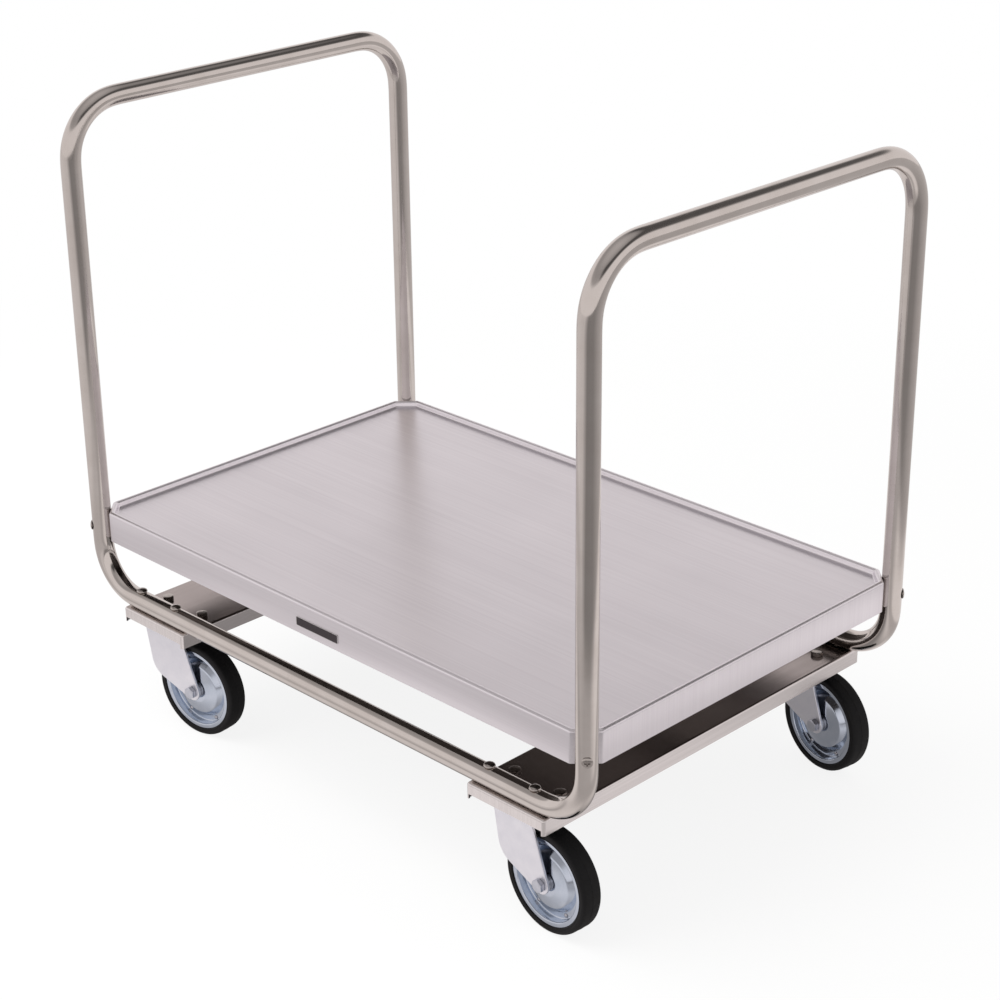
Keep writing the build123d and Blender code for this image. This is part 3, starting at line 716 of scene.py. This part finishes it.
def makeNamePlate():
    shape = bmesh.new()
    loops = []
    for inset, depth in namePlate["layers"]:
        halfX, halfZ = (side / 2 - inset for side in namePlate["size"])
        turn = namePlate["corner"] - inset
        loop = []
        for quarter, (signX, signZ) in enumerate(((1, 1), (-1, 1), (-1, -1), (1, -1))):
            for step in range(namePlate["cornerSteps"] + 1):
                angle = math.radians(90) * (quarter + step / namePlate["cornerSteps"])
                x = signX * (halfX - turn) + turn * math.cos(angle)
                z = signZ * (halfZ - turn) + turn * math.sin(angle)
                loop.append(shape.verts.new((Vector(namePlate["middle"]) + Vector((x, -depth, z))) * mm))
        loops.append(loop)
    for lower, upper in zip(loops, loops[1:]):
        for i in range(len(lower)):
            shape.faces.new((lower[i - 1], lower[i], upper[i], upper[i - 1]))
    shape.faces.new(loops[0])
    field = shape.faces.new(loops[-1])
    field.material_index = 1
    plateFinishes = [finishes["plateRim"], finishes["plateField"]]
    newPiece("namePlate", shape, "chassis", plateFinishes, [])


makeNamePlate()
print("plate made")


# Wheels and axles

axleBolt = {
    "forkSide": 20.5,
    "bolt": {"flats": 14.3, "head": 6.0, "dia": 9.5, "threadFrom": -34.0, "end": -50.5, "pitch": 1.4},
    "nut": {"flats": 14.3, "height": 8.0, "bore": 9.6},
}
wheelDisc = {
    # radius, height and fold of the pressed sheet, once around its section
    "folds": (
        (54.0, 12.5, 0.6), (48.0, 12.5, 1.8), (48.0, 1.5, 1.6), (40.0, 1.5, 2.4), (33.0, 9.5, 4.0),
        (17.0, 13.0, 6.0), (10.05, 13.0, 0.4), (10.05, 11.5, 0.3), (17.0, 11.5, 5.0), (32.25, 8.0, 4.0),
        (38.5, 0.0, 1.0), (49.5, 0.0, 0.5), (49.5, 11.0, 0.4), (54.0, 11.0, 0.6),
    ),
    "around": 128,
}
wheelTyre = {
    # the tread stands a little inside the mould seam along its middle, and a shallow band rings each side
    "half": (
        (54.05, 14.0, 1.6), (55.6, 14.0, 0.2), (55.9, 13.65, 0.2), (57.8, 13.65, 0.2), (58.1, 14.0, 0.2),
        (63.25, 14.0, 4.6), (63.25, 0.45, 0.1), (63.48, 0.2, 0.1),
    ),
    "inner": ((49.55, 10.9, 0.0), (54.05, 10.9, 0.0)),
    "foldSteps": 4, "around": 144,
}
wheelRivet = {
    "ring": 44.0, "count": 6, "seat": 1.5, "around": 24,
    "section": ((0, 1.8), (0.9, 1.72), (1.7, 1.45), (2.4, 0.98), (2.85, 0.42), (3.0, 0), (0, 0)),
}


def wheelPlace(corner):
    # the middle of a wheel, with y along its axle
    joint = joints[corner + "_roll"]
    across = Vector(joint["axis"])
    up = Vector((0, 0, 1))
    place = Matrix((across.cross(up), across, up)).transposed().to_4x4()
    place.translation = Vector(joint["pos_m"])
    return place


def makeWheel(corner):
    middle = wheelPlace(corner)
    caster, wheel = corner + "_caster", corner + "_wheel"
    mirrored = Matrix.Scale(-1, 4, (0, 1, 0))
    outward = Matrix.Translation((0, axleBolt["forkSide"] * mm, 0))
    shape = bmesh.new()
    turned(shape, hexBolt(axleBolt["bolt"]), fastener["around"], Matrix.Rotation(math.pi, 4, "Z") @ outward)
    newPiece(corner + "AxleBolt", shape, caster, [finishes["zincBolts"]],
             [corner + "_axle_bolt"], middle)
    shape = bmesh.new()
    turned(shape, hexNut(axleBolt["nut"]), fastener["around"], outward)
    newPiece(corner + "AxleNut", shape, caster, [finishes["zincBolts"]],
             [corner + "_axle_nut"], middle)
    for side, flip in (("front", mirrored), ("back", Matrix())):
        shape = bmesh.new()
        turned(shape, rounded(wheelDisc["folds"]), wheelDisc["around"], flip)
        newPiece(f"{corner}Wheel{side.title()}Disc", shape, wheel, [finishes["disc"]],
                 [f"{corner}_{side}_disc"], middle)
    half, inner = wheelTyre["half"], wheelTyre["inner"]
    section = list(half) + [(r, -y, fold) for r, y, fold in reversed(half)]
    section += [(r, -y, fold) for r, y, fold in reversed(inner)] + list(inner)
    shape = bmesh.new()
    turned(shape, rounded(section, wheelTyre["foldSteps"]), wheelTyre["around"])
    newPiece(corner + "Tyre", shape, wheel, [finishes["tyre"]], [corner + "_tyre"], middle)
    shape = bmesh.new()
    for flip in (mirrored, Matrix()):
        for i in range(wheelRivet["count"]):
            angle = math.tau * i / wheelRivet["count"]
            x, z = wheelRivet["ring"] * math.cos(angle), wheelRivet["ring"] * math.sin(angle)
            spot = Matrix.Translation(Vector((x, wheelRivet["seat"], z)) * mm)
            turned(shape, wheelRivet["section"], wheelRivet["around"], flip @ spot)
    newPiece(corner + "WheelRivets", shape, wheel, [finishes["pins"]],
             [corner + "_wheel_rivets"], middle)


for corner in corners:
    makeWheel(corner)
print("wheels made")


# Studio

studio = {
    "floorRadius": 14.0, "floorSides": 96, "floorColour": "#F7F7F6",
    "ownWhite": 0.87, "whiteFrom": 0.9, "whiteTo": 2.0,
    "ambient": 0.7, "keyPower": 80.0, "keySize": 2.6, "keyPlace": (-1.1, -1.5, 2.7),
    # the deck's shade on the floor below it
    "shade": 0.3, "shadeSize": (0.46, 0.28), "shadeEnds": (0.75, 1.25),
    # brightness of the floor that shiny faces see, in rings from close by to far off;
    # the outer three change once around the truck, from -x by -y, +x and +y
    "closeFloor": 0.92, "closeEnds": (0.5, 0.66), "kneeEnds": (0.74, 0.82), "nearEnds": (1.05, 1.3),
    "kneeFloor": (
        (0.0, 0.84), (0.1, 0.86), (0.13, 0.8), (0.16, 0.66), (0.2, 0.62), (0.25, 0.54), (0.43, 0.56),
        (0.49, 0.62), (0.61, 0.62), (0.7, 0.84), (1.0, 0.84),
    ),
    "nearFloor": (
        (0.0, 0.8), (0.1, 0.66), (0.27, 0.66), (0.35, 0.55), (0.43, 0.58), (0.5, 0.96), (0.64, 0.98),
        (1.0, 0.8),
    ),
    "farFloor": (
        (0.0, 0.8), (0.12, 0.84), (0.26, 0.76), (0.34, 0.3), (0.46, 0.32), (0.56, 0.5), (0.7, 0.66),
        (1.0, 0.8),
    ),
    # brightness that shiny faces see above the horizon, by the sine of the height,
    # on the side where the key stands and on the far side
    "keySide": ((0.0, 0.96), (0.5, 0.93), (0.6, 0.5), (0.74, 0.42), (0.84, 0.46), (1.0, 0.6)),
    "farSide": ((0.0, 0.96), (0.5, 0.93), (0.6, 0.14), (0.74, 0.09), (0.84, 0.42), (1.0, 0.6)),
    "sideEnds": (-0.25, 0.25),  # from the one to the other, across the middle
    "warmth": (1.0, 0.945, 0.94),  # what shiny faces see is faintly rosy
}


def tinted(level):
    # a brightness in the studio's own tint
    return [level * share for share in studio["warmth"]] + [1]


def setStops(stops, levels):
    # brightness along a colour ramp
    for position, _ in levels[1:-1]:
        stops.new(position)
    for stop, (position, level) in zip(stops, levels):
        stop.position = position
        stop.color = tinted(level)


def buildFloor():
    shape = bmesh.new()
    bmesh.ops.create_circle(shape, cap_ends=True, segments=studio["floorSides"], radius=studio["floorRadius"])
    mesh = bpy.data.meshes.new("floor")
    shape.to_mesh(mesh)
    shape.free()
    floor = bpy.data.objects.new("floor", mesh)
    bpy.context.scene.collection.objects.link(floor)
    paper = bpy.data.materials.new("paperSweep")  # matt white paper that keeps a soft shadow near the truck
    paper.use_nodes = True
    tree = paper.node_tree
    tree.nodes.clear()
    path = addNode(tree, "ShaderNodeLightPath").outputs
    seen = addNode(tree, "ShaderNodeMath", {
        0: path["Is Camera Ray"], 1: path["Is Transmission Ray"]}, operation="MAXIMUM")
    place = addNode(tree, "ShaderNodeTexCoord").outputs["Object"]
    reach = addNode(tree, "ShaderNodeVectorMath", {0: place}, operation="LENGTH").outputs["Value"]
    sides = addNode(tree, "ShaderNodeSeparateXYZ", {0: place}).outputs
    around = addNode(tree, "ShaderNodeMath", {0: sides["Y"], 1: sides["X"]}, operation="ARCTAN2")
    turn = addNode(tree, "ShaderNodeMapRange", {
        "Value": around.outputs[0], "From Min": -math.pi, "From Max": math.pi})
    offSides = []
    for i, half in enumerate(studio["shadeSize"]):
        offCentre = addNode(tree, "ShaderNodeMath", {0: sides[i], 1: half}, operation="DIVIDE")
        offSide = addNode(tree, "ShaderNodeMath", {0: offCentre.outputs[0]}, operation="ABSOLUTE")
        offSides.append(offSide.outputs[0])
    offEdge = addNode(tree, "ShaderNodeMath", {0: offSides[0], 1: offSides[1]}, operation="MAXIMUM")
    clear = addNode(tree, "ShaderNodeMapRange", {
        "Value": offEdge.outputs[0], "From Min": studio["shadeEnds"][0], "From Max": studio["shadeEnds"][1]},
        interpolation_type="SMOOTHSTEP")
    sheen = addNode(tree, "ShaderNodeMix", {
        0: clear.outputs["Result"], 6: tinted(studio["shade"]), 7: tinted(studio["closeFloor"])},
        data_type="RGBA").outputs[2]
    for ring, ends in (("kneeFloor", "closeEnds"), ("nearFloor", "kneeEnds"), ("farFloor", "nearEnds")):
        level = addNode(tree, "ShaderNodeValToRGB", {"Fac": turn.outputs["Result"]})
        setStops(level.color_ramp.elements, studio[ring])
        beyond = addNode(tree, "ShaderNodeMapRange", {
            "Value": reach, "From Min": studio[ends][0], "From Max": studio[ends][1]},
            interpolation_type="SMOOTHSTEP")
        sheen = addNode(tree, "ShaderNodeMix", {
            0: beyond.outputs["Result"], 6: sheen, 7: level.outputs["Color"]}, data_type="RGBA").outputs[2]
    fade = addNode(tree, "ShaderNodeMapRange", {
        "Value": reach, "From Min": studio["whiteFrom"], "From Max": studio["whiteTo"],
        "To Min": studio["ownWhite"], "To Max": 1.0}, interpolation_type="SMOOTHSTEP")
    share = addNode(tree, "ShaderNodeMath", {
        0: seen.outputs[0], 1: fade.outputs["Result"]}, operation="MULTIPLY")
    matt = addNode(tree, "ShaderNodeBsdfDiffuse", {"Color": linear(studio["floorColour"])})
    white = addNode(tree, "ShaderNodeEmission", {"Color": (1, 1, 1, 1), "Strength": 1.0})
    both = addNode(tree, "ShaderNodeMixShader", {
        0: share.outputs[0], 1: matt.outputs[0], 2: white.outputs[0]})
    mirrored = addNode(tree, "ShaderNodeEmission", {"Color": sheen, "Strength": 1.0})
    shown = addNode(tree, "ShaderNodeMixShader", {
        0: path["Is Glossy Ray"], 1: both.outputs[0], 2: mirrored.outputs[0]})
    addNode(tree, "ShaderNodeOutputMaterial", {"Surface": shown.outputs[0]})
    mesh.materials.append(paper)


def buildWorld():
    world = bpy.data.worlds.new("studio")
    bpy.context.scene.world = world
    world.use_nodes = True
    tree = world.node_tree
    tree.nodes.clear()
    path = addNode(tree, "ShaderNodeLightPath").outputs
    direction = addNode(tree, "ShaderNodeTexCoord").outputs["Generated"]
    toward = addNode(tree, "ShaderNodeSeparateXYZ", {0: direction}).outputs
    beyond = addNode(tree, "ShaderNodeMath", {0: toward["X"], 1: toward["Y"]}, operation="ADD")
    crossing = addNode(tree, "ShaderNodeMapRange", {
        "Value": beyond.outputs[0], "From Min": studio["sideEnds"][0], "From Max": studio["sideEnds"][1]},
        interpolation_type="SMOOTHSTEP")
    sides = []
    for side in ("keySide", "farSide"):
        level = addNode(tree, "ShaderNodeValToRGB", {"Fac": toward["Z"]})
        setStops(level.color_ramp.elements, studio[side])
        sides.append(level.outputs["Color"])
    surround = addNode(tree, "ShaderNodeMix", {
        0: crossing.outputs["Result"], 6: sides[0], 7: sides[1]}, data_type="RGBA")
    ambient = [studio["ambient"]] * 3 + [1]
    lit = addNode(tree, "ShaderNodeMix", {
        0: path["Is Glossy Ray"], 6: ambient, 7: surround.outputs[2]}, data_type="RGBA")
    shown = addNode(tree, "ShaderNodeMix", {
        0: path["Is Camera Ray"], 6: lit.outputs[2], 7: (1, 1, 1, 1)}, data_type="RGBA")
    sky = addNode(tree, "ShaderNodeBackground", {"Color": shown.outputs[2], "Strength": 1.0})
    addNode(tree, "ShaderNodeOutputWorld", {"Surface": sky.outputs[0]})


def addSoftbox(name, place, size, power):
    lamp = bpy.data.lights.new(name, "AREA")
    lamp.shape = "SQUARE"
    lamp.size = size
    lamp.energy = power
    box = bpy.data.objects.new(name, lamp)
    box.location = place
    box.rotation_euler = (-Vector(place)).to_track_quat("-Z", "Y").to_euler()
    box.visible_glossy = False  # shiny faces see the surround instead
    bpy.context.scene.collection.objects.link(box)


buildFloor()
buildWorld()
addSoftbox("keySoftbox", studio["keyPlace"], studio["keySize"], studio["keyPower"])
print("studio built")


# Camera, from the vanishing lines of the deck and the frame

camera = {
    "place": (1.8485, -1.8081, 1.4740), "yaw": -0.7878, "pitch": 0.4166, "roll": -0.0109,  # metres, radians
    "lens": 82.5, "sensor": 36.0,
}


def aimCamera():
    forward = Vector((
        math.sin(camera["yaw"]) * math.cos(camera["pitch"]),
        math.cos(camera["yaw"]) * math.cos(camera["pitch"]),
        -math.sin(camera["pitch"]),
    ))
    right = Vector((math.cos(camera["yaw"]), -math.sin(camera["yaw"]), 0))
    up = right.cross(forward)
    rolledRight = math.cos(camera["roll"]) * right + math.sin(camera["roll"]) * up
    rolledUp = math.cos(camera["roll"]) * up - math.sin(camera["roll"]) * right
    lens = bpy.data.cameras.new("camera")
    lens.lens = camera["lens"]
    lens.sensor_width = camera["sensor"]
    shooter = bpy.data.objects.new("camera", lens)
    shooter.matrix_world = Matrix((rolledRight, rolledUp, -forward)).transposed().to_4x4()
    shooter.location = camera["place"]
    bpy.context.scene.collection.objects.link(shooter)
    bpy.context.scene.camera = shooter


aimCamera()
bpy.context.scene.view_settings.view_transform = "Standard"
print("camera aimed")
